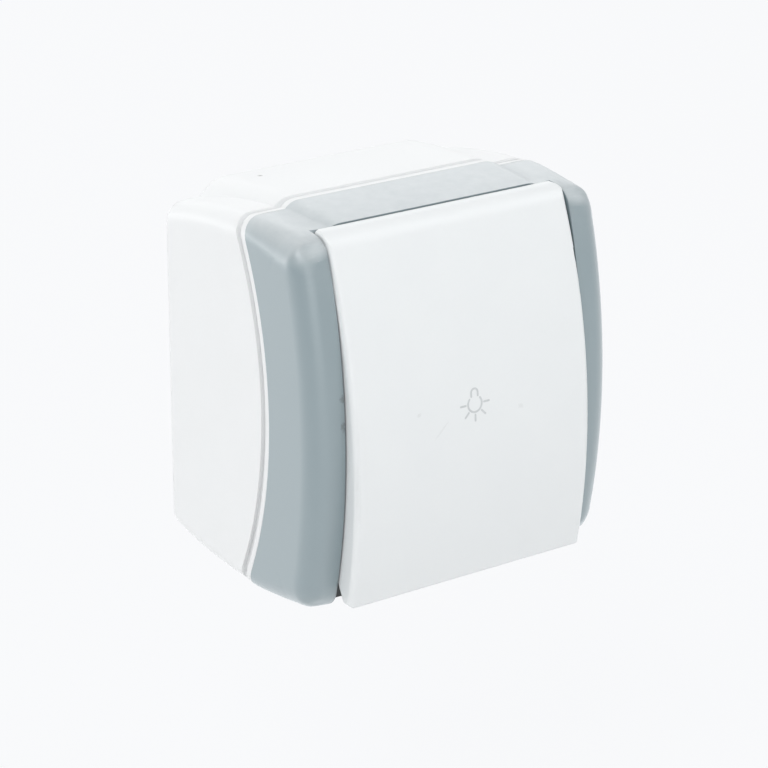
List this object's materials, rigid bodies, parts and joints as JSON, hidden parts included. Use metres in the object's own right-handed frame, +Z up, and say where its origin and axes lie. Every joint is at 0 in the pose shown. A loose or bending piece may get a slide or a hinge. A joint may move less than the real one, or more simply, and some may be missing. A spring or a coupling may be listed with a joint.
{
  "type": "push-button switch",
  "caption": "Surface-mounted splash-proof push-button switch: curved box, two-winged front frame and a wide sprung button hinged along its top.",
  "frame": {"origin": "Centre of the back face, on the wall plane, at mid height and mid width.", "axes": "+X to the right seen from in front, +Y into the wall, +Z up; the button faces -Y."},
  "size_m": [0.066, 0.0492, 0.0719],
  "materials": {
    "box_plastic": "satin white moulded plastic",
    "button_plastic": "satin white moulded plastic with a few faint scratches",
    "frame_plastic": "fine-textured light blue-grey moulded plastic",
    "soft_rubber": "matt black rubber",
    "base_plastic": "pale moulded thermoset",
    "cover_plastic": "grey moulded plastic",
    "plunger_plastic": "slate blue acetal",
    "contact_brass": "stamped brass",
    "contact_silver": "silver alloy contact tips",
    "screw_steel": "zinc-plated steel",
    "spring_steel": "stainless spring wire"
  },
  "bodies": {
    "case": {"back_box": "box_plastic", "cable_grommet": "soft_rubber", "rim_gasket": "soft_rubber", "front_frame": "frame_plastic", "frame_screw_upper": "screw_steel", "frame_screw_lower": "screw_steel", "sealing_boot": "soft_rubber", "mechanism_base": "base_plastic", "mechanism_cover": "cover_plastic", "mechanism_screw_left": "screw_steel", "mechanism_screw_right": "screw_steel", "fixed_contact_left": "contact_brass", "fixed_contact_right": "contact_brass", "fixed_tips": "contact_silver", "terminal_cage_left": "contact_brass", "terminal_cage_right": "contact_brass", "terminal_screw_left": "screw_steel", "terminal_screw_right": "screw_steel", "return_spring": "spring_steel"},
    "button": {"button": "button_plastic"},
    "plunger": {"plunger": "plunger_plastic", "plunger_clip": "spring_steel", "contact_spring": "spring_steel"},
    "bridge": {"contact_bridge": "contact_brass", "bridge_tips": "contact_silver"}
  },
  "joints": [
    {"name": "button_hinge", "type": "hinge", "parent": "case", "child": "button", "pos_m": [0, -0.03732, 0.03035], "axis": [1, 0, 0], "range_deg": [0, 4], "stiffness_Nm_per_rad": 1, "springref_deg": -4.58},
    {"name": "plunger_slide", "type": "slide", "parent": "case", "child": "plunger", "axis": [0, 1, 0], "range_m": [0, 0.00215], "deforming": ["return_spring", "contact_spring", "sealing_boot"]},
    {"name": "bridge_slide", "type": "slide", "parent": "case", "child": "bridge", "axis": [0, 1, 0], "range_m": [0, 0.00175]}
  ],
  "couplings": [
    {"joint": "plunger_slide", "follows": "button_hinge", "m_per_rad": 0.03035},
    {"joint": "bridge_slide", "follows": "button_hinge", "m_per_rad": 0.02478}
  ]
}
